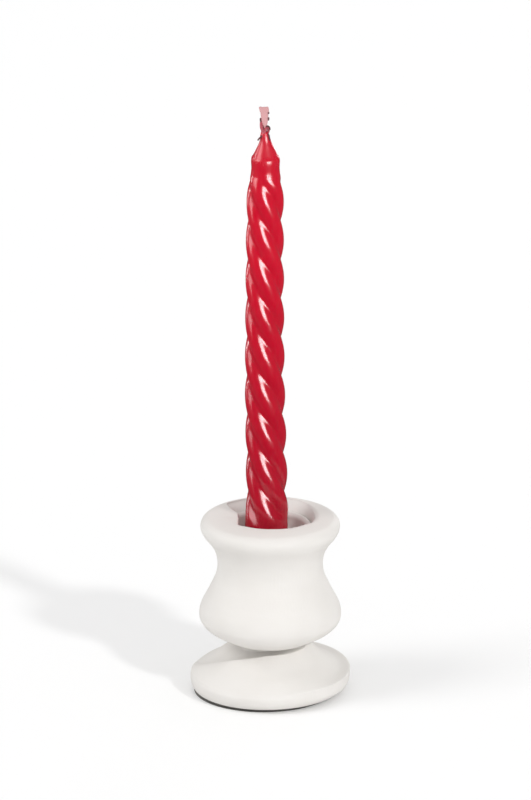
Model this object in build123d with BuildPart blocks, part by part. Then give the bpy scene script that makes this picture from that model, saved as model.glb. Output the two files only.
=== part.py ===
"""Swirled wooden candlestick with a twisted candle in its cup, in millimetres.

+Z is up and the foot's felt rests on Z = 0.  The turned upper body and the round base share the Z axis.
The foot, the well and the candle stand a little to the left of it, along -X, and the front is -Y.
"""
import os
from math import cos, radians, sin, sqrt

from build123d import *

os.makedirs("parts", exist_ok=True)

# Heights above the table
felt_top = 1.0
side_widest_z = 8.0
joint_z = 30.0
belly_z = 46.0
waist_z = 75.5
rim_z = 98.0
crest_z = 103.4
candle_tip_z = 330.5
wick_top_z = 347.8

# Radii of the turned body and of the base
base_radius = 45.4
side_radius = 45.1
core_radius = 14.5
section_start = 10.5
joint_radius = 19.5
joint_inset = 1.0
belly_radius = 40.25
waist_radius = 29.85
rim_radius = 39.6
crest_radius = 34.0

# The foot, a little smaller and set to the left
foot_x = -3.8
foot_radius = 37.9
felt_radius = 37.4

# The well and what stands in it share one axis
well_x = -2.0
well_radius = 22.3
well_floor_z = 88.0
lip_underside_z = 96.0
bead_radius = 24.9
bead_z = 100.2
crevice_width = 0.6
cut_lap = 0.2
scoop_start_radius = well_radius - 2.0
cut_top_z = crest_z + 4.0

# Drawn-metal cup
cup_wall = 0.8
cup_inner_radius = 12.2
cup_bottom_z = 66.0
cup_flange_radius = 16.0
cup_hole_radius = 2.2
cup_clearance = 0.1

# Screws and dowels
cup_screw_radius = 1.9
cup_screw_length = 16.0
cup_screw_head_radius = 3.6
cup_screw_head_height = 2.0
cup_screw_crown_radius = 2.6
neck_screw_radius = 2.5
neck_screw_head_radius = 4.8
neck_screw_head_z = 6.0
neck_screw_head_rim = 0.4
neck_screw_cone_height = 2.2
neck_screw_tip_z = 46.0
screw_tip_radius = 0.35
screw_point_length = 3.5
cross_length = 4.0
cross_width = 1.0
cross_depth = 1.6
dowel_radius = 3.0
dowel_length = 20.0
dowel_offset = 9.0
dowel_chamfer = 0.6
hole_clearance = 0.05
hole_spare = 1.0
head_clearance = 0.2
countersink_depth = 2.4

# Candle
candle_rest_gap = 0.05
candle_bottom_z = cup_bottom_z + cup_wall + cup_screw_head_height + candle_rest_gap
stub_radius = 11.5
twist_bottom_z = 91.0
twist_top_z = 293.0
twist_pitch = 92.2
lobe_count = 4
lobe_radius = 11.6
valley_radius = 8.6
shoulder_radius = 8.1
shoulder_z = 306.0
taper_z = 318.0
tip_radius = 2.4
stub_chamfer_width = 0.8
stub_chamfer_height = 1.5

# Wick
wick_radius = 1.1
wick_bottom_z = candle_bottom_z + 6.0
knot_radius = 2.7
knot_z = 335.0
tag_bottom_z = 338.0
tag_foot_width = 4.1
tag_width = 5.8
tag_thickness = 1.4
tag_lap = 1.0


def radial_plane(angle, centre_x=0.0):
    """Upright plane through an axis at centre_x: local X runs outward at the angle, local Y runs up."""
    turn = radians(angle)
    return Plane(
        origin=(centre_x, 0, 0),
        x_dir=(cos(turn), sin(turn), 0),
        z_dir=(sin(turn), -cos(turn), 0),
    )


def around(radius, angle, centre_x=0.0):
    """Plan point at a radius and an angle, anticlockwise from +X, about an axis at centre_x."""
    return (centre_x + radius * cos(radians(angle)), radius * sin(radians(angle)))


def foot_reach(angle):
    """Distance from the Z axis to the edge of the offset foot at an angle."""
    along = foot_x * cos(radians(angle))
    across = foot_x * sin(radians(angle))
    return along + sqrt(foot_radius**2 - across**2)


def save(part, name):
    part.label = name
    export_step(part, f"parts/{name}.step")


# Upper body: turned outline, then the spiral lip, the scoop behind it and the drip well
lip_edge = [(22.3, -20), (22.0, 311), (21.3, 270), (20.0, 220), (17.0, 170)]
step_angle = 146

# Scoop sections: angle, radius of its outer edge, height of its crevice, height of the bead beside it
scoop_sections = [
    (-28, 25.6, crest_z + cut_lap, crest_z + cut_lap),
    (0, 28.0, 100.4, 101.4),
    (30, 31.6, 98.8, bead_z),
    (60, 34.8, 97.8, bead_z),
    (90, 34.4, 97.2, bead_z),
    (120, 33.4, 96.8, bead_z),
    (step_angle, 32.6, 96.6, bead_z),
]

with BuildPart() as vase_body:
    with BuildSketch(Plane.XZ):
        with BuildLine():
            Line((0, joint_z), (joint_radius, joint_z))
            Spline(
                (joint_radius, joint_z),
                (28.7, 33.6),
                (36.6, 38.6),
                (belly_radius, belly_z),
                (36.6, 56.6),
                (31.3, 67.6),
                (waist_radius, waist_z),
                (31.4, 83.8),
                (35.7, 90.8),
                (rim_radius, rim_z),
            )
            Spline((rim_radius, rim_z), (38.0, 101.5), (crest_radius, crest_z), tangents=[(0, 1), (-1, 0)])
            Line((crest_radius, crest_z), (0, crest_z))
            Line((0, crest_z), (0, joint_z))
        make_face()
    revolve(axis=Axis.Z)
    for angle, outer, crevice_z, bead_top_z in scoop_sections:
        with BuildSketch(radial_plane(angle, well_x)):
            with BuildLine():
                Polyline(
                    (scoop_start_radius, cut_top_z),
                    (scoop_start_radius, bead_top_z),
                    (bead_radius, bead_top_z),
                    (bead_radius + crevice_width, crevice_z),
                    (outer, crest_z + cut_lap),
                    (outer, cut_top_z),
                    close=True,
                )
            make_face()
    loft(mode=Mode.SUBTRACT)
    with BuildSketch(Plane.XY.offset(lip_underside_z)):
        with BuildLine():
            lip = Spline(*[around(radius, angle, well_x) for radius, angle in lip_edge])
            Line(lip @ 1, around(well_radius, step_angle, well_x))
            ThreePointArc(
                around(well_radius, step_angle, well_x),
                around(well_radius, 60, well_x),
                around(well_radius, -20, well_x),
            )
        make_face()
    extrude(amount=cut_top_z - lip_underside_z, mode=Mode.SUBTRACT)
    with BuildSketch(Plane.XY.offset(well_floor_z)):
        with Locations((well_x, 0)):
            Circle(well_radius)
    extrude(amount=lip_underside_z - well_floor_z, mode=Mode.SUBTRACT)
    with BuildSketch(Plane.XY.offset(cup_bottom_z)):
        with Locations((well_x, 0)):
            Circle(cup_inner_radius + cup_wall + cup_clearance)
    extrude(amount=well_floor_z - cup_bottom_z, mode=Mode.SUBTRACT)
    with BuildSketch(Plane.XY.offset(cup_bottom_z - cup_screw_length)):
        with Locations((well_x, 0)):
            Circle(cup_screw_radius + hole_clearance)
    extrude(amount=cup_screw_length, mode=Mode.SUBTRACT)
    with BuildSketch(Plane.XY.offset(joint_z)):
        Circle(neck_screw_radius + hole_clearance)
    extrude(amount=neck_screw_tip_z - joint_z + hole_spare, mode=Mode.SUBTRACT)
    with BuildSketch(Plane.XY.offset(joint_z)):
        with Locations((0, dowel_offset), (0, -dowel_offset)):
            Circle(dowel_radius + hole_clearance)
    extrude(amount=dowel_length / 2 + hole_spare, mode=Mode.SUBTRACT)
save(vase_body.part, "vase_body")

# Base, in radial sections: a hollow-curved ramp round the back, then the band that grows out of its edge,
# climbs round the front as the spiral ridge and tucks in under the belly.  Each section starts at the foot.
# Ramp sections: angle, then radius and height of the edge, the hollow, the rise and the neck
band_start = 158
band_end = 332
ramp_start_outline = [(45.3, 13.2), (36.5, 12.6), (28.5, 20.0), (22.5, 29.4)]
ramp_sections = [
    (band_end - 360, ramp_start_outline),
    (0, [(base_radius, 13.3), (37.0, 13.0), (29.0, 20.0), (22.0, 29.8)]),
    (45, [(45.3, 14.8), (37.5, 14.8), (29.0, 20.6), (21.0, 29.8)]),
    (90, [(45.3, 14.8), (38.0, 16.0), (29.5, 21.4), (20.5, 29.8)]),
    (130, [(45.2, 12.6), (38.5, 15.6), (29.5, 22.2), (20.0, 29.8)]),
    (band_start, [(45.0, 10.6), (38.5, 14.6), (30.0, 21.2), (19.0, 28.6)]),
]

# Band sections: angle, outline from the edge up to the ridge, outline from the groove in to the neck
band_sections = [
    (band_start,
     [(45.0, 10.6), (44.4, 11.0), (43.9, 11.3), (43.4, 11.6)],
     [(43.2, 11.5), (30.0, 21.2), (19.0, 28.6)]),
    (178,
     [(44.8, 11.5), (43.0, 13.2), (41.0, 14.1), (38.9, 14.8)],
     [(38.2, 13.6), (28.0, 19.0), (17.0, 26.8)]),
    (200,
     [(44.3, 11.5), (40.5, 15.0), (36.2, 17.8), (32.0, 20.0)],
     [(31.2, 17.0), (24.0, 20.5), (15.5, 24.6)]),
    (222,
     [(44.2, 11.0), (39.0, 15.8), (33.0, 20.2), (27.5, 24.0)],
     [(26.4, 20.2), (21.0, 21.8), (15.0, 24.0)]),
    (245,
     [(44.2, 10.8), (38.0, 16.0), (31.0, 21.0), (24.0, 26.4)],
     [(22.8, 22.6), (19.0, 23.4), (15.0, 24.6)]),
    (270,
     [(44.3, 11.0), (37.5, 16.3), (29.5, 20.6), (21.9, 28.0)],
     [(20.8, 25.2), (18.0, 25.6), (15.0, 26.2)]),
    (300,
     [(44.8, 12.4), (37.8, 14.8), (29.3, 19.6), (21.8, 28.4)],
     [(20.9, 27.2), (18.0, 27.6), (15.0, 28.0)]),
    (band_end, ramp_start_outline, [(21.8, 29.2), (18.0, 29.3), (15.0, 29.4)]),
]

with BuildPart() as swirl_base:
    for angle, slope in ramp_sections:
        with BuildSketch(radial_plane(angle)):
            with BuildLine():
                Line((section_start, felt_top), (foot_reach(angle), felt_top))
                Spline((foot_reach(angle), felt_top), (side_radius, side_widest_z), slope[0])
                Spline(*slope)
                Polyline(slope[-1], (slope[-1][0] - joint_inset, joint_z), (section_start, joint_z))
                Line((section_start, joint_z), (section_start, felt_top))
            make_face()
    loft()
    for angle, flank, groove in band_sections:
        with BuildSketch(radial_plane(angle)):
            with BuildLine():
                Line((section_start, felt_top), (foot_reach(angle), felt_top))
                Spline((foot_reach(angle), felt_top), (side_radius, side_widest_z), flank[0])
                Spline(*flank)
                Line(flank[-1], groove[0])
                Spline(*groove)
                Line(groove[-1], (section_start, groove[-1][1]))
                Line((section_start, groove[-1][1]), (section_start, felt_top))
            make_face()
    loft()
    with BuildSketch(Plane.XY.offset(felt_top)):
        Circle(core_radius)
    extrude(amount=joint_z - felt_top)
    with BuildSketch(Plane.XY.offset(felt_top)):
        Circle(neck_screw_head_radius + head_clearance)
    extrude(amount=neck_screw_head_z - felt_top, mode=Mode.SUBTRACT)
    with BuildSketch(Plane.XY.offset(neck_screw_head_z)):
        Circle(neck_screw_head_radius + head_clearance)
    with BuildSketch(Plane.XY.offset(neck_screw_head_z + countersink_depth)):
        Circle(neck_screw_radius + hole_clearance)
    loft(mode=Mode.SUBTRACT)
    with BuildSketch(Plane.XY.offset(neck_screw_head_z)):
        Circle(neck_screw_radius + hole_clearance)
    extrude(amount=joint_z - neck_screw_head_z, mode=Mode.SUBTRACT)
    with BuildSketch(Plane.XY.offset(joint_z - dowel_length / 2 - hole_spare)):
        with Locations((0, dowel_offset), (0, -dowel_offset)):
            Circle(dowel_radius + hole_clearance)
    extrude(amount=dowel_length / 2 + hole_spare, mode=Mode.SUBTRACT)
save(swirl_base.part, "swirl_base")

# Felt pad under the foot
with BuildPart() as felt_pad:
    with BuildSketch():
        with Locations((foot_x, 0)):
            Circle(felt_radius)
    extrude(amount=felt_top)
save(felt_pad.part, "felt_pad")

# Countersunk screw that pulls the base up to the body
neck_screw_bottom_z = neck_screw_head_z - neck_screw_head_rim
with BuildPart() as neck_screw:
    with BuildSketch(Plane.XZ):
        with BuildLine():
            Polyline(
                (0, neck_screw_bottom_z),
                (neck_screw_head_radius, neck_screw_bottom_z),
                (neck_screw_head_radius, neck_screw_head_z),
                (neck_screw_radius, neck_screw_head_z + neck_screw_cone_height),
                (neck_screw_radius, neck_screw_tip_z - screw_point_length),
                (screw_tip_radius, neck_screw_tip_z),
                (0, neck_screw_tip_z),
                close=True,
            )
        make_face()
    revolve(axis=Axis.Z)
    with BuildSketch(Plane.XY.offset(neck_screw_bottom_z)):
        Rectangle(cross_length, cross_width)
        Rectangle(cross_width, cross_length)
    extrude(amount=cross_depth, mode=Mode.SUBTRACT)
save(neck_screw.part, "neck_screw")

# Two dowels that keep the base from turning on the body
with BuildPart() as neck_dowels:
    with BuildSketch(Plane.XY.offset(joint_z - dowel_length / 2)):
        with Locations((0, dowel_offset), (0, -dowel_offset)):
            Circle(dowel_radius)
    extrude(amount=dowel_length)
    chamfer(neck_dowels.edges().filter_by(GeomType.CIRCLE), dowel_chamfer)
save(neck_dowels.part, "neck_dowels")

# Drawn-metal cup with a flat flange on the well's floor
with BuildPart() as candle_cup:
    with BuildSketch(Plane.XZ):
        with BuildLine():
            Polyline(
                (cup_hole_radius, cup_bottom_z),
                (cup_inner_radius + cup_wall, cup_bottom_z),
                (cup_inner_radius + cup_wall, well_floor_z),
                (cup_flange_radius, well_floor_z),
                (cup_flange_radius, well_floor_z + cup_wall),
                (cup_inner_radius, well_floor_z + cup_wall),
                (cup_inner_radius, cup_bottom_z + cup_wall),
                (cup_hole_radius, cup_bottom_z + cup_wall),
                close=True,
            )
        make_face()
    revolve(axis=Axis.Z)
save(candle_cup.part.moved(Location((well_x, 0, 0))), "candle_cup")

# Pan-head screw through the cup's floor
cup_screw_tip_z = cup_bottom_z - cup_screw_length + hole_spare
cup_screw_seat_z = cup_bottom_z + cup_wall
with BuildPart() as cup_screw:
    with BuildSketch(Plane.XZ):
        with BuildLine():
            Polyline(
                (0, cup_screw_tip_z),
                (screw_tip_radius, cup_screw_tip_z),
                (cup_screw_radius, cup_screw_tip_z + screw_point_length),
                (cup_screw_radius, cup_screw_seat_z),
                (cup_screw_head_radius, cup_screw_seat_z),
                (cup_screw_head_radius, cup_screw_seat_z + cup_screw_head_height / 2),
                (cup_screw_crown_radius, cup_screw_seat_z + cup_screw_head_height),
                (0, cup_screw_seat_z + cup_screw_head_height),
                close=True,
            )
        make_face()
    revolve(axis=Axis.Z)
save(cup_screw.part.moved(Location((well_x, 0, 0))), "cup_screw")

# Candle: plain stub in the cup, four-lobed left-hand twist, then a round shoulder and a cone
lobe_step = 360 / lobe_count
lobe_points = []
for lobe in range(lobe_count):
    lobe_points.append(around(lobe_radius, lobe * lobe_step))
    lobe_points.append(around(valley_radius, (lobe + 0.5) * lobe_step))

with BuildSketch() as lobe_section:
    with BuildLine():
        Spline(*lobe_points, periodic=True)
    make_face()
twist_length = twist_top_z - twist_bottom_z
twisted = Solid.extrude_linear_with_rotation(
    lobe_section.sketch.faces()[0],
    center=(0, 0, 0),
    normal=(0, 0, twist_length),
    angle=-360 * twist_length / twist_pitch,
)

with BuildPart() as candle:
    add(twisted.moved(Location((0, 0, twist_bottom_z))))
    with BuildSketch(Plane.XZ):
        with BuildLine():
            Polyline(
                (0, candle_bottom_z),
                (stub_radius - stub_chamfer_width, candle_bottom_z),
                (stub_radius, candle_bottom_z + stub_chamfer_height),
                (stub_radius, twist_bottom_z),
                (0, twist_bottom_z),
                close=True,
            )
        make_face()
    revolve(axis=Axis.Z)
    with BuildSketch(Plane.XZ):
        with BuildLine():
            Line((0, twist_top_z), (valley_radius, twist_top_z))
            Spline(
                (valley_radius, twist_top_z),
                (shoulder_radius, shoulder_z),
                (shoulder_radius, taper_z),
                (tip_radius, candle_tip_z),
            )
            Line((tip_radius, candle_tip_z), (0, candle_tip_z))
            Line((0, candle_tip_z), (0, twist_top_z))
        make_face()
    revolve(axis=Axis.Z)
    with BuildSketch(Plane.XY.offset(wick_bottom_z)):
        Circle(wick_radius)
    extrude(amount=candle_tip_z - wick_bottom_z, mode=Mode.SUBTRACT)
save(candle.part.moved(Location((well_x, 0, 0))), "candle")

# Wick: straight through the wax, a knot above it and a flat cut end
with BuildPart() as wick:
    with BuildSketch(Plane.XY.offset(wick_bottom_z)):
        Circle(wick_radius)
    extrude(amount=knot_z - wick_bottom_z)
    with Locations((0, 0, knot_z)):
        Sphere(knot_radius)
    with BuildSketch(Plane.XY.offset(tag_bottom_z)):
        Rectangle(tag_foot_width, tag_thickness)
    with BuildSketch(Plane.XY.offset(wick_top_z)):
        Rectangle(tag_width, tag_thickness)
    loft()
    with BuildSketch(Plane.XY.offset(knot_z)):
        Circle(wick_radius)
    extrude(amount=tag_bottom_z - knot_z + tag_lap)
save(wick.part.moved(Location((well_x, 0, 0))), "wick")
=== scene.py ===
"""Looks of the swirled white candlestick and its red twisted candle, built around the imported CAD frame.

Shapes are in millimetres, as in the CAD, and MM turns them into metres.  The stage, its lights and the
materials are in metres.  Angles are in degrees, anticlockwise from +X seen from above, so 90 is the back
and 270 the front.
"""

import math

import bmesh
import bpy
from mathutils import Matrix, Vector, noise


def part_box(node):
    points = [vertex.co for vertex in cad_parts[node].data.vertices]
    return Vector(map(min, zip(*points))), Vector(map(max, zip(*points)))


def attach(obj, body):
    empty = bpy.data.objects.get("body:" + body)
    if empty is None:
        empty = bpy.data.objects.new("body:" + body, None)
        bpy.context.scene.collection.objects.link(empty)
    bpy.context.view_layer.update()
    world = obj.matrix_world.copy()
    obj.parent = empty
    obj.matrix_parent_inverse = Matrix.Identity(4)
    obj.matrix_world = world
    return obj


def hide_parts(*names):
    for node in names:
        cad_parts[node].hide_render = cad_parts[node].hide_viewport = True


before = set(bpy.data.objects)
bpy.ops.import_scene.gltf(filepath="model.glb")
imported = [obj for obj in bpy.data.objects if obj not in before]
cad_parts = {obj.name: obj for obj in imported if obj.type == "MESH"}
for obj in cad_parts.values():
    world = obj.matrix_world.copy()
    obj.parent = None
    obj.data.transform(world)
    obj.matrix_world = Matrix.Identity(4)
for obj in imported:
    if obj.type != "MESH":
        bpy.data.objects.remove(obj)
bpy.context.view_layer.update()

MM = 0.001


def cad_box(node):
    """Lowest and highest corners of a CAD node in millimetres."""
    lowest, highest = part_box(node)
    return Vector(lowest) / MM, Vector(highest) / MM


felt_low, felt_high = cad_box("felt_pad")
cup_low, cup_high = cad_box("candle_cup")
body_low, body_high = cad_box("vase_body")

FELT_SET_BACK = 0.6
FOOT_X = (felt_low.x + felt_high.x) / 2
FOOT_RADIUS = (felt_high.x - felt_low.x) / 2 + FELT_SET_BACK
FELT_TOP = felt_high.z
WELL_X = (cup_low.x + cup_high.x) / 2
JOINT_Z = body_low.z
RIM_TOP = body_high.z


# ---------------------------------------------------------------- curves and meshes
def smoothstep(low, high, value):
    """0 below low, 1 above high, and an even S between them."""
    share = min(max((value - low) / (high - low), 0.0), 1.0)
    return share * share * (3 - 2 * share)


def mix(first, second, share):
    """first at share 0, second at share 1, and a straight line between them."""
    return first + (second - first) * share


def table(rows):
    """Smooth function through (key, value) rows with rising keys, without overshoot."""
    keys = [key for key, _ in rows]
    values = [value for _, value in rows]
    slopes = [(values[i + 1] - values[i]) / (keys[i + 1] - keys[i]) for i in range(len(keys) - 1)]
    tangents = [slopes[0]]
    for before, after in zip(slopes, slopes[1:]):
        tangents.append(0.0 if before * after <= 0 else 2 * before * after / (before + after))
    tangents.append(slopes[-1])

    def read(key):
        key = min(max(key, keys[0]), keys[-1])
        i = max(n for n in range(len(keys) - 1) if n == 0 or keys[n] <= key)
        span = keys[i + 1] - keys[i]
        t = (key - keys[i]) / span
        rise = t * t * (3 - 2 * t)
        start = t * (1 - t) * (1 - t) * span
        stop = t * t * (t - 1) * span
        return mix(values[i], values[i + 1], rise) + start * tangents[i] + stop * tangents[i + 1]

    return read


def through(points, steps):
    """Catmull-Rom curve through points of any size, with that many steps between neighbours."""
    points = [Vector(p) for p in points]
    ends = [points[0] * 2 - points[1]] + points + [points[-1] * 2 - points[-2]]
    out = []
    for a, b, c, d in zip(ends, ends[1:], ends[2:], ends[3:]):
        for i in range(steps):
            t = i / steps
            bend = (a * 2 - b * 5 + c * 4 - d) * t**2
            twist = (b * 3 - a - c * 3 + d) * t**3
            out.append(0.5 * (b * 2 + (c - a) * t + bend + twist))
    out.append(points[-1].copy())
    return out


def polar(radius, angle, z):
    """Point at a radius and an angle about the Z axis."""
    turn = math.radians(angle)
    return Vector((radius * math.cos(turn), radius * math.sin(turn), z))


def angle_of(point):
    """Angle of a point about the Z axis."""
    return math.degrees(math.atan2(point.y, point.x))


def circle_reach(centre_x, radius, angle):
    """Distance from the Z axis, at an angle, to a circle centred at centre_x on the X axis."""
    turn = math.radians(angle)
    return centre_x * math.cos(turn) + math.sqrt(radius**2 - (centre_x * math.sin(turn)) ** 2)


def make_piece(name, sheets, material, body, weld=0.004):
    """One mesh piece from sheets of points in millimetres, welded where they meet.

    A sheet is (rows, wraps): rows of equal length, and whether the last column joins the first.
    """
    mesh_data = bmesh.new()
    for rows, wraps in sheets:
        grid = [[mesh_data.verts.new(Vector(p) * MM) for p in row] for row in rows]
        for low, high in zip(grid, grid[1:]):
            columns = len(low)
            for i in range(columns if wraps else columns - 1):
                j = (i + 1) % columns
                mesh_data.faces.new((low[i], low[j], high[j], high[i]))
    bmesh.ops.remove_doubles(mesh_data, verts=mesh_data.verts, dist=weld * MM)
    bmesh.ops.dissolve_degenerate(mesh_data, edges=mesh_data.edges, dist=weld * MM / 4)
    bmesh.ops.recalc_face_normals(mesh_data, faces=mesh_data.faces)
    mesh = bpy.data.meshes.new(name)
    mesh_data.to_mesh(mesh)
    mesh_data.free()
    mesh.shade_smooth()
    piece = bpy.data.objects.new(name, mesh)
    bpy.context.scene.collection.objects.link(piece)
    mesh.materials.append(material)
    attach(piece, body)
    return piece


def revolved(profile, columns, centre_x):
    """Wrapping sheet from a profile of (radius, z) points turned about an upright axis."""
    step = 360 / columns
    rows = [[polar(r, i * step, z) + Vector((centre_x, 0, 0)) for i in range(columns)] for r, z in profile]
    return rows, True


def tube(path, radius, sides):
    """Wrapping sheet along a path of points, with closed ends.  radius may be a function of 0 to 1."""
    rows = []
    count = len(path)
    for i, point in enumerate(path):
        ahead = (path[min(i + 1, count - 1)] - path[max(i - 1, 0)]).normalized()
        side = ahead.orthogonal().normalized() if i == 0 else (side - ahead * side.dot(ahead)).normalized()
        other = ahead.cross(side)
        size = radius(i / (count - 1)) if callable(radius) else radius
        ring = []
        for k in range(sides):
            turn = math.tau * k / sides
            ring.append(point + (side * math.cos(turn) + other * math.sin(turn)) * size)
        rows.append(ring)
    rows.insert(0, [path[0]] * sides)
    rows.append([path[-1]] * sides)
    return rows, True


# ---------------------------------------------------------------- materials
def new_material(name):
    """New material with its node tree and its shader."""
    material = bpy.data.materials.new(name)
    material.use_nodes = True
    tree = material.node_tree
    return material, tree, tree.nodes["Principled BSDF"]


def noise_node(tree, coordinates, scale, detail, stretch=(1, 1, 1)):
    """Noise texture in object space; stretch squeezes the pattern along each axis."""
    mapping = tree.nodes.new("ShaderNodeMapping")
    mapping.inputs["Scale"].default_value = stretch
    texture = tree.nodes.new("ShaderNodeTexNoise")
    texture.inputs["Scale"].default_value = scale
    texture.inputs["Detail"].default_value = detail
    tree.links.new(coordinates, mapping.inputs["Vector"])
    tree.links.new(mapping.outputs["Vector"], texture.inputs["Vector"])
    return texture.outputs["Fac"]


def ramp_node(tree, factor, stops):
    """Colour ramp; stops are (place, colour) with colour as (r, g, b)."""
    ramp = tree.nodes.new("ShaderNodeValToRGB")
    while len(ramp.color_ramp.elements) < len(stops):
        ramp.color_ramp.elements.new(0.5)
    for element, (place, colour) in zip(ramp.color_ramp.elements, stops):
        element.position = place
        element.color = (*colour, 1)
    tree.links.new(factor, ramp.inputs["Fac"])
    return ramp.outputs["Color"]


def range_node(tree, value, low, high, start=0.3, end=0.7, curve="LINEAR"):
    """Spreads a value from start to end, by default the middle of a noise, over low to high."""
    spread = tree.nodes.new("ShaderNodeMapRange")
    spread.interpolation_type = curve
    spread.inputs["From Min"].default_value = start
    spread.inputs["From Max"].default_value = end
    spread.inputs["To Min"].default_value = low
    spread.inputs["To Max"].default_value = high
    tree.links.new(value, spread.inputs["Value"])
    return spread.outputs["Result"]


def math_node(tree, operation, *values):
    """Math node on values that are each a plain number or another node's output."""
    node = tree.nodes.new("ShaderNodeMath")
    node.operation = operation
    for socket, value in zip(node.inputs, values):
        if isinstance(value, float):
            socket.default_value = value
        else:
            tree.links.new(value, socket)
    return node.outputs["Value"]


def add_bump(tree, shader, heights):
    """Chain of bumps; heights are (height output, distance in metres)."""
    normal = None
    for height, distance in heights:
        bump = tree.nodes.new("ShaderNodeBump")
        bump.inputs["Strength"].default_value = 1.0
        bump.inputs["Distance"].default_value = distance
        tree.links.new(height, bump.inputs["Height"])
        if normal:
            tree.links.new(normal, bump.inputs["Normal"])
        normal = bump.outputs["Normal"]
    tree.links.new(normal, shader.inputs["Normal"])


def object_space(tree):
    """Coordinates in metres that stay with the piece."""
    return tree.nodes.new("ShaderNodeTexCoord").outputs["Object"]


def painted_wood():
    """Satin white paint over fine close-grained wood, slightly mottled."""
    material, tree, shader = new_material("white_painted_wood")
    place = object_space(tree)
    mottle = noise_node(tree, place, scale=42.0, detail=4.0)
    grain = noise_node(tree, place, scale=900.0, detail=5.0, stretch=(1, 1, 0.06))
    pores = noise_node(tree, place, scale=2600.0, detail=2.0, stretch=(1, 1, 0.35))
    colour = ramp_node(tree, mottle, [(0.3, (0.760, 0.735, 0.703)), (0.7, (0.785, 0.762, 0.733))])
    tree.links.new(colour, shader.inputs["Base Color"])
    tree.links.new(range_node(tree, mottle, 0.58, 0.68), shader.inputs["Roughness"])
    shader.inputs["Specular IOR Level"].default_value = 0.2
    add_bump(tree, shader, [(grain, 0.00005), (pores, 0.00002)])
    return material


def red_wax():
    """Glossy dipped wax, a little translucent, deeper red towards the foot and more satin at the cone."""
    material, tree, shader = new_material("red_wax")
    place = object_space(tree)
    cloud = noise_node(tree, place, scale=60.0, detail=3.0)
    pull = noise_node(tree, place, scale=600.0, detail=3.0, stretch=(1, 1, 0.4))
    axes = tree.nodes.new("ShaderNodeSeparateXYZ")
    tree.links.new(place, axes.inputs["Vector"])
    height = axes.outputs["Z"]
    brighter_upwards = range_node(tree, height, 0.0, 1.0, start=0.09, end=0.30)
    blotch = math_node(tree, "MULTIPLY_ADD", cloud, 0.3, brighter_upwards)
    colour = ramp_node(tree, blotch, [(0.1, (0.38, 0.0005, 0.015)), (1.0, (0.60, 0.001, 0.021))])
    tree.links.new(colour, shader.inputs["Base Color"])
    satin_cone = range_node(tree, height, 0.0, 0.11, start=0.312, end=0.322)
    roughness = math_node(tree, "ADD", range_node(tree, pull, 0.17, 0.25), satin_cone)
    tree.links.new(roughness, shader.inputs["Roughness"])
    shader.inputs["Subsurface Weight"].default_value = 0.15
    shader.inputs["Subsurface Radius"].default_value = (1.0, 0.12, 0.10)
    shader.inputs["Subsurface Scale"].default_value = 0.003
    add_bump(tree, shader, [(cloud, 0.0004), (pull, 0.00002)])
    return material


def woven_cotton(name, dark, light, scale):
    """Fine cotton braid; scale is how fine its threads are."""
    material, tree, shader = new_material(name)
    place = object_space(tree)
    wave = tree.nodes.new("ShaderNodeTexWave")
    wave.wave_type = "BANDS"
    wave.bands_direction = "DIAGONAL"
    wave.inputs["Scale"].default_value = scale
    wave.inputs["Distortion"].default_value = 2.0
    wave.inputs["Detail"].default_value = 2.0
    tree.links.new(place, wave.inputs["Vector"])
    colour = ramp_node(tree, wave.outputs["Fac"], [(0.1, dark), (0.8, light)])
    tree.links.new(colour, shader.inputs["Base Color"])
    shader.inputs["Roughness"].default_value = 0.7
    shader.inputs["Sheen Weight"].default_value = 0.2
    add_bump(tree, shader, [(wave.outputs["Fac"], 0.00012)])
    return material


def pressed_felt():
    """Dark grey wool felt, matte and fibrous."""
    material, tree, shader = new_material("dark_felt")
    place = object_space(tree)
    fibres = noise_node(tree, place, scale=2200.0, detail=5.0)
    colour = ramp_node(tree, fibres, [(0.35, (0.100, 0.096, 0.086)), (0.75, (0.240, 0.230, 0.205))])
    tree.links.new(colour, shader.inputs["Base Color"])
    shader.inputs["Roughness"].default_value = 0.95
    shader.inputs["Sheen Weight"].default_value = 0.3
    add_bump(tree, shader, [(fibres, 0.0002)])
    return material


def enamelled_steel():
    """White enamel on pressed steel, glossy and a little uneven."""
    material, tree, shader = new_material("white_enamel")
    place = object_space(tree)
    ripple = noise_node(tree, place, scale=180.0, detail=3.0)
    colour = ramp_node(tree, ripple, [(0.3, (0.66, 0.63, 0.60)), (0.7, (0.72, 0.70, 0.68))])
    tree.links.new(colour, shader.inputs["Base Color"])
    tree.links.new(range_node(tree, ripple, 0.25, 0.4), shader.inputs["Roughness"])
    shader.inputs["Coat Weight"].default_value = 0.4
    add_bump(tree, shader, [(ripple, 0.0001)])
    return material


def plated_steel():
    """Zinc-plated steel with fine turning marks."""
    material, tree, shader = new_material("plated_steel")
    place = object_space(tree)
    turning = noise_node(tree, place, scale=1500.0, detail=3.0, stretch=(0.2, 0.2, 3))
    colour = ramp_node(tree, turning, [(0.3, (0.52, 0.52, 0.50)), (0.7, (0.68, 0.67, 0.64))])
    tree.links.new(colour, shader.inputs["Base Color"])
    tree.links.new(range_node(tree, turning, 0.28, 0.45), shader.inputs["Roughness"])
    shader.inputs["Metallic"].default_value = 1.0
    add_bump(tree, shader, [(turning, 0.00005)])
    return material


def beech():
    """Bare beech, with its grain along the dowels."""
    material, tree, shader = new_material("beech")
    place = object_space(tree)
    grain = noise_node(tree, place, scale=700.0, detail=4.0, stretch=(1, 1, 0.08))
    colour = ramp_node(tree, grain, [(0.3, (0.50, 0.33, 0.18)), (0.7, (0.68, 0.50, 0.31))])
    tree.links.new(colour, shader.inputs["Base Color"])
    shader.inputs["Roughness"].default_value = 0.7
    add_bump(tree, shader, [(grain, 0.0001)])
    return material


WHITE = painted_wood()
WAX = red_wax()


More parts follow.
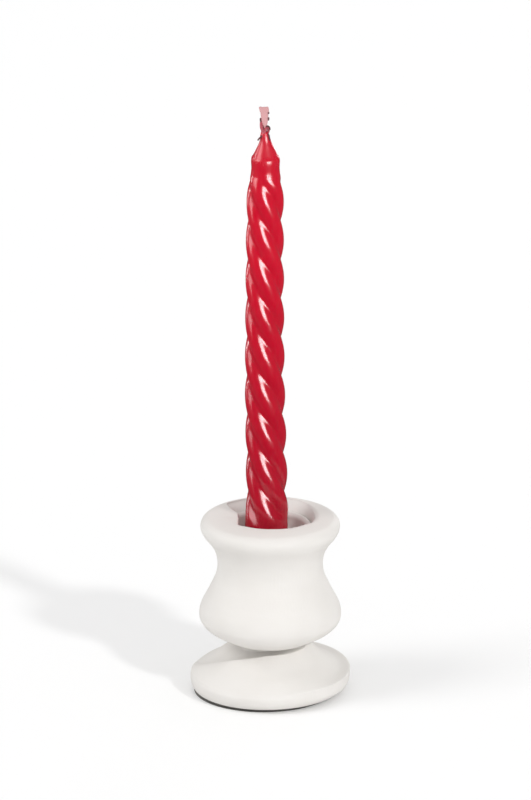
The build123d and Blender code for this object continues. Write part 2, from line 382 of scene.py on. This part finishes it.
# ---------------------------------------------------------------- upper body
# Each outline is (radius, z) points about the Z axis.  The blind bore takes the neck screw, and the turned
# outside runs from the joint, round the belly and the waist, up to the rim's crest.
SCREW_BORE = [(0.0, 47.0), (2.6, 47.0), (2.6, 30.0)]
BODY_OUTLINE = [
    (10.0, 30.0), (17.5, 30.0), (20.8, 30.35), (24.8, 31.9), (28.9, 34.0), (33.4, 36.5), (37.4, 39.6),
    (39.7, 43.0), (40.2, 46.6), (39.5, 50.6), (37.6, 54.9), (35.3, 59.2), (32.9, 64.2), (30.8, 69.2),
    (29.9, 74.5), (30.2, 79.8), (31.7, 84.6), (34.4, 89.2), (37.4, 92.9), (39.2, 96.2), (39.5, 98.9),
    (38.5, 101.3), (36.4, 102.9), (34.2, 103.4),
]
CREST_RADIUS, CREST_Z = BODY_OUTLINE[-1]

# The lip of the rim begins at a step and sinks away to the right of the front.  Over the rest of the rim a
# scoop runs down from its edge into a crevice, and a bead stands between the crevice and the well.
STEP_ANGLE = 148.75
STEP_SLANT = 12.75
STEP_HALF_WIDTH = 0.7
STEP_COLUMN_GAP = 0.2
STEP_COLUMNS_EACH_SIDE = 8
TURN_FULL_WITHIN = 20
TURN_ENDS_BY = 75
RIM_OUTER = 34.5
RIM_INNER = 19.0
LIP_MIDDLE = 200
LIP_SINKS_FROM = 324
LIP_GONE_BY = 344
SCOOP_TOP = 102.4
BEAD_TOP = 99.4
BEAD_RADIUS = 24.2
WELL_RADIUS = 22.2
WELL_FLOOR = 88.0
WELL_FLOOR_INNER = 17.0

# Radius about the Z axis of the scoop's outer edge, which widens until it meets the rim's crest, and of
# the lip's inner edge, from the step round the left and the front to where the scoop begins again
scoop_edge = table([(0, 25.0), (15, 25.4), (34, 27.2), (50, 30.4), (66, 33.0), (80, 33.5), (150, 33.6)])
lip_edge = table([
    (130, 19.3), (163, 18.7), (180, 17.9), (190, 18.2), (200, 19.1), (206, 19.9), (214, 21.6), (219, 22.4),
    (225, 22.0), (237, 21.2), (270, 21.0), (300, 22.3), (327, 23.4), (343, 24.6), (360, 25.2),
])
# Depth of the crevice below the rim's top, from where the lip sinks away round the back to the step
crevice_depth = table([(-35, 0.3), (-20, 2.0), (0, 4.5), (30, 6.8), (60, 7.6), (150, 8.0)])
# Bore for the cup, and the screw hole in its floor, about the well's axis
CUP_BORE = [
    (13.1, WELL_FLOOR), (12.95, 87.5), (12.95, 67.0), (12.4, 66.1), (2.0, 66.0), (2.0, 50.0), (0.0, 50.0),
]


def rim_turn(radius, angle):
    """Degrees that a point of the rim's top is turned by, so that the step runs slantwise in."""
    nearness = 1 - smoothstep(TURN_FULL_WITHIN, TURN_ENDS_BY, abs(angle - STEP_ANGLE))
    inward = min(max((RIM_OUTER - radius) / (RIM_OUTER - RIM_INNER), 0.0), 1.0)
    return nearness * STEP_SLANT * (2 * inward - 1)


def rim_outline(angle):
    """Top of the rim from its crest in to the well's floor: the lip, or the scoop, crevice and bead."""
    past_step = smoothstep(STEP_ANGLE - STEP_HALF_WIDTH, STEP_ANGLE + STEP_HALF_WIDTH, angle)
    lipped = past_step * (1 - smoothstep(LIP_SINKS_FROM, LIP_GONE_BY, angle))
    edge = mix(scoop_edge(angle), lip_edge(angle + rim_turn(RIM_INNER, angle)), past_step)
    bead = circle_reach(WELL_X, BEAD_RADIUS, angle + rim_turn(BEAD_RADIUS, angle))
    wall = circle_reach(WELL_X, WELL_RADIUS, angle + rim_turn(WELL_RADIUS, angle))
    crevice = RIM_TOP - crevice_depth(angle if angle < LIP_MIDDLE else angle - 360)
    ledge = max(edge, bead + 2.4)
    hollow = bead + 1.6
    scoop_side = [
        (mix(ledge, hollow, 0.45), mix(SCOOP_TOP, crevice, 0.22)),
        (mix(ledge, hollow, 0.8), mix(SCOOP_TOP, crevice, 0.56)),
        (hollow, crevice),
        (bead + 1.1, crevice + 0.4),
        (bead + 0.7, mix(crevice, BEAD_TOP, 0.72)),
        (bead, BEAD_TOP),
        (bead - 0.9, BEAD_TOP - 0.4),
        (wall, BEAD_TOP - 2.0),
    ]
    lip_side = [
        (edge + 0.05, 102.3), (edge, 101.6), (edge, 100.8), (edge, 100.0), (edge, 99.2), (edge + 0.05, 98.4),
        (edge + 0.2, 97.5), (min(edge + 0.9, wall), 96.4),
    ]
    start = mix(ledge, edge, lipped)
    top = mix(102.9, 103.9, smoothstep(0, 8, CREST_RADIUS - start))
    out = [
        (CREST_RADIUS, CREST_Z),
        (mix(CREST_RADIUS, start, 0.35), mix(CREST_Z, top, 0.6)),
        (mix(CREST_RADIUS, start, 0.7), top),
        (start + 0.9, mix(103.3, 103.7, lipped)),
        (start + 0.25, mix(102.8, 103.1, lipped)),
    ]
    for (scoop_radius, scoop_z), (lip_radius, lip_z) in zip(scoop_side, lip_side):
        out.append((mix(scoop_radius, lip_radius, lipped), mix(scoop_z, lip_z, lipped)))
    out += [(wall, 94.5), (wall, 90.0), (wall - 0.5, 88.6), (wall - 1.8, WELL_FLOOR)]
    out.append((WELL_FLOOR_INNER, WELL_FLOOR))
    return out


def body_sheet():
    """The whole upper body in one sheet, from the bore in its foot over the rim to the cup's bore."""
    each_side = range(-STEP_COLUMNS_EACH_SIDE, STEP_COLUMNS_EACH_SIDE + 1)
    near_step = {STEP_ANGLE + STEP_COLUMN_GAP * i for i in each_side}
    outside = [Vector(p) for p in SCREW_BORE] + through(BODY_OUTLINE, steps=5)
    columns = []
    for angle in sorted(set(range(360)) | near_step):
        outline = outside[:-1] + through(rim_outline(angle), steps=5)
        column = [polar(p.x, angle + rim_turn(p.x, angle), p.y) for p in outline]
        floor = column[-1]
        outwards = Vector((floor.x - WELL_X, floor.y, 0)).normalized()
        column += [Vector((WELL_X, 0, z)) + outwards * radius for radius, z in CUP_BORE]
        columns.append(column)
    rows = [list(row) for row in zip(*columns)]
    return rows, True


def add_dimple(piece, centre, depth, size):
    """Presses a soft dent into a mesh, straight down."""
    for vertex in piece.data.vertices:
        away = (vertex.co - Vector(centre) * MM).length / (size * MM)
        vertex.co.z -= depth * MM * math.exp(-away * away)


def make_body():
    piece = make_piece("vase_body_wood", [body_sheet()], WHITE, "holder", weld=0.001)
    add_dimple(piece, centre=(-23.3, 0.0, 103.8), depth=0.35, size=2.2)
    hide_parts("vase_body")


# ---------------------------------------------------------------- base
# The top of the base is one ribbon that winds inward for one and a half turns.  It starts as nothing at
# the outer edge, grows into the front band, is the whole ramp round the back, and ends as the groove
# behind its own ridge.  Each row: angle, then four (radius, z) points from its outer to its inner edge.
BAND_START = 158
BAND_END = 332
RIBBON = [
    (158, (45.0, 10.6), (45.0, 10.6), (45.0, 10.6), (45.0, 10.6)),
    (178, (44.8, 11.5), (43.0, 13.2), (41.0, 14.1), (38.9, 14.8)),
    (200, (44.3, 11.5), (40.5, 15.0), (36.2, 17.8), (32.0, 20.0)),
    (222, (44.2, 11.0), (39.0, 15.8), (33.0, 20.2), (27.5, 24.0)),
    (245, (44.2, 10.8), (38.0, 16.0), (31.0, 21.0), (24.0, 26.4)),
    (270, (44.3, 11.0), (37.5, 16.3), (29.5, 20.6), (21.9, 28.0)),
    (300, (44.8, 12.4), (37.8, 14.8), (29.3, 19.6), (21.8, 28.4)),
    (332, (45.2, 12.8), (37.6, 14.1), (28.9, 20.0), (22.5, 29.4)),
    (360, (45.3, 13.2), (38.0, 14.4), (29.3, 20.3), (22.0, 29.8)),
    (405, (45.3, 14.6), (38.2, 15.9), (29.4, 21.2), (21.0, 29.9)),
    (450, (45.3, 14.8), (38.0, 16.0), (29.5, 21.4), (20.5, 29.9)),
    (490, (45.2, 12.6), (38.5, 15.6), (29.5, 22.2), (20.0, 29.9)),
    (518, (45.0, 10.6), (38.5, 14.6), (30.0, 21.2), (19.0, 28.6)),
    (538, (38.2, 13.4), (33.0, 16.2), (26.5, 20.4), (17.2, 26.8)),
    (560, (31.2, 16.8), (27.0, 18.6), (22.5, 21.0), (16.0, 25.6)),
    (582, (26.4, 20.9), (23.5, 21.9), (20.0, 23.6), (15.5, 26.4)),
    (605, (22.9, 23.9), (20.8, 24.5), (18.4, 25.5), (15.5, 27.2)),
    (630, (21.1, 26.2), (19.6, 26.6), (17.9, 27.2), (16.0, 28.0)),
    (660, (21.2, 27.9), (20.2, 28.1), (19.1, 28.4), (18.0, 28.9)),
    (692, (22.5, 29.4), (22.5, 29.4), (22.5, 29.4), (22.5, 29.4)),
]
BELT_RADIUS = 45.2
JOINT_RADIUS = 14.6
COUNTERSINK_RADIUS = 5.4
# Countersunk bore up through the base, from the felt to the joint, and the flat joint face round it
BASE_BORE = [(COUNTERSINK_RADIUS, FELT_TOP), (5.0, 6.0), (2.6, 8.4), (2.6, JOINT_Z), (JOINT_RADIUS, JOINT_Z)]


def ribbon_strip():
    """One column of points across the ribbon for each degree from its start to its end."""
    tracks = []
    for n in range(1, 5):
        radius = table([(row[0], row[n][0]) for row in RIBBON])
        z = table([(row[0], row[n][1]) for row in RIBBON])
        tracks.append((radius, z))
    strip = []
    for angle in range(BAND_START, BAND_END + 361):
        points = [(radius(angle), z(angle)) for radius, z in tracks]
        strip.append([polar(p.x, angle, p.y) for p in through(points, steps=12)])
    return strip


def base_side(edge):
    """Column from a point on the ribbon's outer edge, over the belt, down to the foot."""
    angle = angle_of(edge)
    foot = circle_reach(FOOT_X, FOOT_RADIUS, angle)
    tuck = BELT_RADIUS - foot
    outline = through([
        (math.hypot(edge.x, edge.y), edge.z),
        (45.25 - 0.02 * tuck, 8.6),
        (45.1 - 0.10 * tuck, 5.2),
        (45.0 - 0.42 * tuck, 2.4),
        (foot, FELT_TOP),
    ], steps=6)
    return [polar(p.x, angle, p.y) for p in outline]


def base_neck(inner):
    """Column from a point on the ribbon's inner edge up and in to the joint face."""
    reach = math.hypot(inner.x, inner.y)
    outline = through([
        (reach, inner.z),
        (max(reach - 0.7, 15.2), mix(inner.z, JOINT_Z, 0.6)),
        (JOINT_RADIUS, JOINT_Z),
    ], steps=4)
    return [polar(p.x, angle_of(inner), p.y) for p in outline]


def make_base():
    """The ribbon on top, the belt and foot round it, the ridge between its turns, the neck and the bore."""
    strip = ribbon_strip()
    band = BAND_END - BAND_START
    side = [base_side(column[0]) for column in strip[:360]]
    under = []
    bore = []
    for column in side:
        angle = angle_of(column[-1])
        under.append([column[-1], polar(COUNTERSINK_RADIUS, angle, FELT_TOP)])
        bore.append([polar(radius, angle, z) for radius, z in BASE_BORE])
    ridge = []
    for upper, lower in zip(strip[:band + 1], strip[360:]):
        ridge.append([upper[-1].lerp(lower[0], n / 6) for n in range(7)])
    neck = [base_neck(column[-1]) for column in strip[band:-1]]
    sheets = [(strip, False), (side + [side[0]], False), (under + [under[0]], False), (ridge, False),
              (neck + [neck[0]], False), (bore + [bore[0]], False)]
    piece = make_piece("swirl_base_wood", sheets, WHITE, "holder")
    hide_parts("swirl_base")


# ---------------------------------------------------------------- candle
# The height of one turn of the twist, a height where a groove faces left, how many degrees a valley is
# rounded over, and how far the lobes stand out from the axis as a share of the radius
TWIST_PITCH = 92.2
GROOVE_Z = 188.3
VALLEY_SOFTNESS = 9.0
LOBE_SPREAD = 0.52
CANDLE_FOOT = 69
FINE_FROM = 305
CONE_TOP = 333
CANDLE_TIP = 333.2
CANDLE_COLUMNS = 112

# By height: the wax's radius, how deep its twist is, and the X place of its slightly bent axis
candle_radius = table([
    (CANDLE_FOOT, 10.9), (70.5, 11.5), (88, 11.7), (92, 12.1), (98, 12.2), (107, 12.05), (130, 11.75),
    (176, 11.4), (222, 11.05), (268, 10.75), (290, 10.55), (298, 10.35), (302.5, 9.8), (306, 9.0),
    (308.5, 8.25), (312, 8.0), (316, 8.15), (317.8, 8.0), (319.2, 7.1), (322, 5.7), (325, 4.3),
    (328, 3.15), (331, 2.6), (CONE_TOP, 2.0),
])
candle_lobes = table([
    (CANDLE_FOOT, 0.0), (98, 0.0), (103, 0.45), (109, 1.0), (290, 1.0), (298, 0.95), (303, 0.8),
    (306, 0.5), (309, 0.0), (CONE_TOP, 0.0),
])
candle_axis_x = table([
    (CANDLE_FOOT, -2.0), (92, -2.2), (99, -2.2), (112, -1.8), (131, -2.05), (155, -2.5), (180, -2.95),
    (215, -3.1), (270, -3.0), (310, -2.7), (325, -2.65), (CONE_TOP, -3.2),
])


def lobed(angle, lobes):
    """Radius share of four overlapping rounds with soft valleys, lobes from 0 (one round) to 1."""
    from_valley = math.hypot(45 - abs((angle % 90) - 45), VALLEY_SOFTNESS)
    spread = LOBE_SPREAD * lobes
    size = 1 - spread
    turn = math.radians(45 - from_valley)
    return spread * math.cos(turn) + math.sqrt(size**2 - (spread * math.sin(turn)) ** 2)


def make_candle():
    """Left-hand twist of four lobes, which runs out into a round foot and a cone."""
    rows = []
    heights = list(range(CANDLE_FOOT, FINE_FROM))
    heights += [FINE_FROM + 0.5 * i for i in range(2 * (CONE_TOP - FINE_FROM) + 1)]
    for z in heights:
        groove = 180 - 360 * (z - GROOVE_Z) / TWIST_PITCH
        radius = candle_radius(z)
        lobes = candle_lobes(z)
        centre = Vector((candle_axis_x(z), 0, 0))
        row = []
        for i in range(CANDLE_COLUMNS):
            angle = 360 * i / CANDLE_COLUMNS
            row.append(centre + polar(radius * lobed(angle, lobes), groove + angle, z))
        rows.append(row)
    rows.insert(0, [Vector((candle_axis_x(CANDLE_FOOT), 0, CANDLE_FOOT))] * CANDLE_COLUMNS)
    rows.append([Vector((candle_axis_x(CONE_TOP), 0, CANDLE_TIP))] * CANDLE_COLUMNS)
    piece = make_piece("candle_wax", [(rows, True)], WAX, "candle_body")
    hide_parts("candle")


# ---------------------------------------------------------------- wick
# Radius of each strand of the braid and the points along it, the points along each loose thread, and the
# centre line of the flat cut end with its half width by height
BRAID = [
    (0.85, [(-4.5, 0.3, 341.2), (-5.0, -0.4, 338.8), (-5.0, -0.9, 336.2), (-4.2, -1.2, 333.9),
            (-2.9, -1.3, 332.0), (-1.8, -1.0, 330.2), (-1.6, -0.3, 328.4)]),
    (0.80, [(-4.5, -0.5, 328.4), (-4.1, -0.9, 330.6), (-3.2, -1.0, 332.7), (-2.7, -1.2, 334.6),
            (-2.0, -1.0, 336.2), (-1.1, -0.6, 336.1), (-0.9, -0.2, 334.6), (-1.4, 0.2, 332.6),
            (-2.4, 0.6, 330.6)]),
    (1.15, [(-3.0, 0.6, 328.6), (-3.1, 0.7, 332.0), (-3.1, 0.6, 336.0), (-3.3, 0.5, 340.0)]),
]
LOOSE_THREADS = [
    [(-4.2, -1.6, 331.4), (-5.3, -2.0, 330.6), (-6.3, -2.0, 329.6), (-7.0, -1.8, 328.6)],
    [(-1.5, -1.3, 332.4), (-0.8, -1.6, 331.6), (-0.5, -1.8, 330.2), (-0.3, -1.9, 328.6)],
    [(-2.3, -1.8, 336.6), (-1.4, -1.5, 337.0), (-0.4, -1.2, 336.0), (-0.2, -1.0, 334.6)],
    [(-1.0, -0.7, 341.8), (-0.9, -0.8, 340.9), (-1.1, -0.7, 340.1)],
    [(-1.0, -0.6, 344.9), (-0.9, -0.7, 344.4), (-1.0, -0.6, 344.0)],
    [(-5.3, -0.6, 341.4), (-5.5, -0.8, 340.4), (-5.2, -0.9, 339.2)],
]
CUT_END = [
    (-2.8, -0.7, 335.6), (-2.9, -0.7, 337.4), (-3.1, -0.5, 339.6), (-3.2, -0.1, 342.6), (-3.3, 0.0, 345.2),
    (-3.7, -0.1, 347.7),
]
cut_end_half_width = table([
    (335.6, 0.5), (337.4, 1.15), (339.6, 1.75), (342.6, 2.15), (344.4, 2.25), (345.4, 2.6), (347.7, 2.75),
])
CUT_END_HALF_DEPTH = 0.75
CUT_END_SIDES = 40
FRAY = 0.35
THREAD_RADIUS = 0.5
THREAD_TAPER = 0.15


def flat_ring(centre, half_width, half_depth):
    """Flat section with rounded corners, across the wick's cut end."""
    ring = []
    for k in range(CUT_END_SIDES):
        turn = math.tau * k / CUT_END_SIDES
        across = math.copysign(abs(math.cos(turn)) ** 0.4, math.cos(turn)) * half_width
        deep = math.copysign(abs(math.sin(turn)) ** 0.6, math.sin(turn)) * half_depth
        ring.append(centre + Vector((across, deep, 0)))
    return ring


def thread_radius(share):
    """Radius of a loose thread, which thins towards its end."""
    return THREAD_RADIUS * (1 - THREAD_TAPER * share)


def wick_piece(name, sheets, material):
    """One piece of the wick, which takes the place of the CAD wick with the others."""
    piece = make_piece(name, sheets, material, "candle_body")
    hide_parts("wick")


def make_wick():
    """Knotted red braid, its flat pale cut end and the loose dark threads round it."""
    red_cord = woven_cotton("wick_red", (0.40, 0.012, 0.035), (0.72, 0.12, 0.17), 1500.0)
    pink_cord = woven_cotton("wick_pink", (0.60, 0.27, 0.28), (0.80, 0.42, 0.43), 700.0)
    dark_cord = woven_cotton("wick_threads", (0.05, 0.004, 0.008), (0.20, 0.02, 0.03), 900.0)
    strands = [tube(through(points, steps=10), thickness, sides=14) for thickness, points in BRAID]
    wick_piece("wick_braid", strands, red_cord)
    line = through(CUT_END, steps=8)
    rings = [flat_ring(centre, cut_end_half_width(centre.z), CUT_END_HALF_DEPTH) for centre in line]
    frayed = [p + Vector((0, 0, FRAY * noise.noise(p * 1.7))) for p in rings[-1]]
    rows = [[line[0]] * CUT_END_SIDES] + rings[:-1] + [frayed, [line[-1]] * CUT_END_SIDES]
    wick_piece("wick_end", [(rows, True)], pink_cord)
    threads = [tube(through(points, steps=6), thread_radius, sides=8) for points in LOOSE_THREADS]
    wick_piece("wick_threads", threads, dark_cord)


# ---------------------------------------------------------------- felt, cup and the hidden fasteners
FELT_RUFFLE = 0.12
# Sections as (radius, z) points: the felt's about the foot's axis, and the cup's wall about the well's
FELT_OUTLINE = [
    (0.001, 0.0), (36.6, 0.0), (37.4, 0.15), (37.6, 0.5), (37.4, 0.85), (36.6, 0.99), (0.001, 0.99),
]
CUP_OUTLINE = [
    (2.2, 66.0), (11.6, 66.0), (12.6, 66.5), (12.85, 67.6), (12.85, 86.6), (13.2, 87.7), (14.4, 88.02),
    (15.4, 88.04), (16.0, 88.4), (15.8, 89.0), (15.0, 89.1), (13.6, 88.8), (12.5, 88.2), (12.15, 87.0),
    (12.15, 67.9), (11.9, 67.0), (11.2, 66.8), (2.2, 66.8), (2.2, 66.0),
]


def ruffled(point):
    """Point of the felt moved sideways by a little smooth noise, so that its cut edge isn't quite round."""
    place = point * 0.9
    shift = Vector((noise.noise(place), noise.noise(place + Vector((9, 0, 0))), 0))
    return point + shift * FELT_RUFFLE


def make_felt():
    outline = [(p.x, p.y) for p in through(FELT_OUTLINE, steps=4)]
    rows, wraps = revolved(outline, columns=240, centre_x=FOOT_X)
    rows = [[ruffled(p) for p in row] for row in rows]
    piece = make_piece("felt_disc", [(rows, wraps)], pressed_felt(), "holder")
    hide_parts("felt_pad")


def make_cup():
    sheet = revolved(CUP_OUTLINE, columns=96, centre_x=WELL_X)
    piece = make_piece("candle_cup_enamel", [sheet], enamelled_steel(), "holder")
    soften = piece.modifiers.new("soften", "SUBSURF")
    soften.levels = 1
    soften.render_levels = 1
    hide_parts("candle_cup")


def dress(node, material):
    """Gives a CAD node a material of this script's own."""
    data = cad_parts[node].data
    data.materials.clear()
    data.materials.append(material)


make_body()
make_base()
make_candle()
make_wick()
make_felt()
make_cup()
steel = plated_steel()
dress("neck_screw", steel)
dress("cup_screw", steel)
dress("neck_dowels", beech())


# ---------------------------------------------------------------- stage, light and camera
FLOOR_HALF = 6.0
FLOOR_GREY = 0.955
WORLD_STRENGTH = 0.775
WORLD_GLOSS_SIDES = 0.12
WORLD_GLOSS_FRONT = 0.01
DIMMEST_TOWARDS = (0.0, -1.0, -0.35)
DIMMEST_WITHIN = 25
DIMS_FROM = 75
PANEL_DISTANCE = 2.0
# Each sun: name, direction towards it, strength, width of its disc in degrees
SUNS = [
    ("key", (0.516, -0.679, 0.521), 0.87, 5.0),
    ("fill", (-0.648, -0.229, 0.727), 0.59, 24.0),
]
# Each panel: name, bearing (0 is the front, 90 the right), lowest and highest z, width, brightness
PANELS = [
    ("window_front", 28, 0.02, 0.85, 1.1, 22),
    ("softbox_left", -70, 0.4, 2.6, 1.4, 6),
    ("strip_back_right", 155, 0.02, 1.3, 0.25, 12),
    ("strip_back_left", -115, 0.02, 1.3, 0.25, 12),
]


def make_floor():
    corners = [(x * FLOOR_HALF, y * FLOOR_HALF, 0) for x, y in ((-1, -1), (1, -1), (1, 1), (-1, 1))]
    mesh = bpy.data.meshes.new("floor")
    mesh.from_pydata(corners, [], [(0, 1, 2, 3)])
    floor = bpy.data.objects.new("floor", mesh)
    bpy.context.scene.collection.objects.link(floor)
    material, _, shader = new_material("pale_floor")
    shader.inputs["Base Color"].default_value = (FLOOR_GREY, FLOOR_GREY, FLOOR_GREY, 1)
    shader.inputs["Roughness"].default_value = 0.9
    shader.inputs["Specular IOR Level"].default_value = 0.1
    mesh.materials.append(material)
    floor.visible_glossy = False


def add_sun(name, towards, strength, spread):
    """Sun that lights surfaces but is left out of reflections."""
    light = bpy.data.lights.new(name, "SUN")
    light.energy = strength
    light.angle = math.radians(spread)
    lamp = bpy.data.objects.new(name, light)
    lamp.rotation_mode = "QUATERNION"
    lamp.rotation_quaternion = Vector(towards).to_track_quat("Z", "Y")
    lamp.visible_glossy = False
    bpy.context.scene.collection.objects.link(lamp)


def add_panel(name, bearing, low_z, high_z, width, brightness):
    """Upright glowing panel that faces the object and shows only in reflections."""
    turn = math.radians(bearing)
    beside = (PANEL_DISTANCE * math.sin(turn), -PANEL_DISTANCE * math.cos(turn))
    light = bpy.data.lights.new(name, "AREA")
    light.shape = "RECTANGLE"
    light.size = width
    light.size_y = high_z - low_z
    light.energy = brightness * math.pi * width * (high_z - low_z)
    lamp = bpy.data.objects.new(name, light)
    lamp.location = (*beside, (low_z + high_z) / 2)
    lamp.rotation_euler = (math.radians(90), 0, turn)
    lamp.visible_diffuse = False
    lamp.visible_camera = False
    bpy.context.scene.collection.objects.link(lamp)


def light_world():
    """Even white studio, which reflections see dimmer, and dimmest towards the front."""
    world = bpy.data.worlds.new("studio")
    bpy.context.scene.world = world
    world.use_nodes = True
    tree = world.node_tree
    background = tree.nodes["Background"]
    background.inputs["Color"].default_value = (1.0, 1.0, 1.0, 1)
    place = tree.nodes.new("ShaderNodeTexCoord")
    front = tree.nodes.new("ShaderNodeVectorMath")
    front.operation = "DOT_PRODUCT"
    front.inputs[1].default_value = Vector(DIMMEST_TOWARDS).normalized()
    tree.links.new(place.outputs["Generated"], front.inputs[0])
    start = math.cos(math.radians(DIMS_FROM))
    end = math.cos(math.radians(DIMMEST_WITHIN))
    facing = front.outputs["Value"]
    dim = range_node(tree, facing, WORLD_GLOSS_SIDES, WORLD_GLOSS_FRONT, start, end, "SMOOTHSTEP")
    ray = tree.nodes.new("ShaderNodeLightPath")
    choose = tree.nodes.new("ShaderNodeMix")
    tree.links.new(ray.outputs["Is Glossy Ray"], choose.inputs["Factor"])
    choose.inputs["A"].default_value = WORLD_STRENGTH
    tree.links.new(dim, choose.inputs["B"])
    tree.links.new(choose.outputs["Result"], background.inputs["Strength"])


def light_stage():
    light_world()
    for sun in SUNS:
        add_sun(*sun)
    for panel in PANELS:
        add_panel(*panel)


def aim_camera():
    """Long-lens camera at 19 degrees above the table, looking along +Y."""
    elevation = math.radians(19.1)
    distance = 12.0
    view_height = 0.452
    sensor = 36.0
    target = Vector((-2.66, 0.0, 173.4)) * MM
    back = Vector((0, -math.cos(elevation), math.sin(elevation)))
    data = bpy.data.cameras.new("camera")
    data.sensor_width = sensor
    data.lens = sensor * distance / view_height
    data.clip_end = 50
    camera = bpy.data.objects.new("camera", data)
    camera.location = target + back * distance
    camera.rotation_mode = "QUATERNION"
    camera.rotation_quaternion = (-back).to_track_quat("-Z", "Y")
    bpy.context.scene.collection.objects.link(camera)
    bpy.context.scene.camera = camera


make_floor()
light_stage()
aim_camera()
bpy.context.scene.view_settings.view_transform = "Standard"
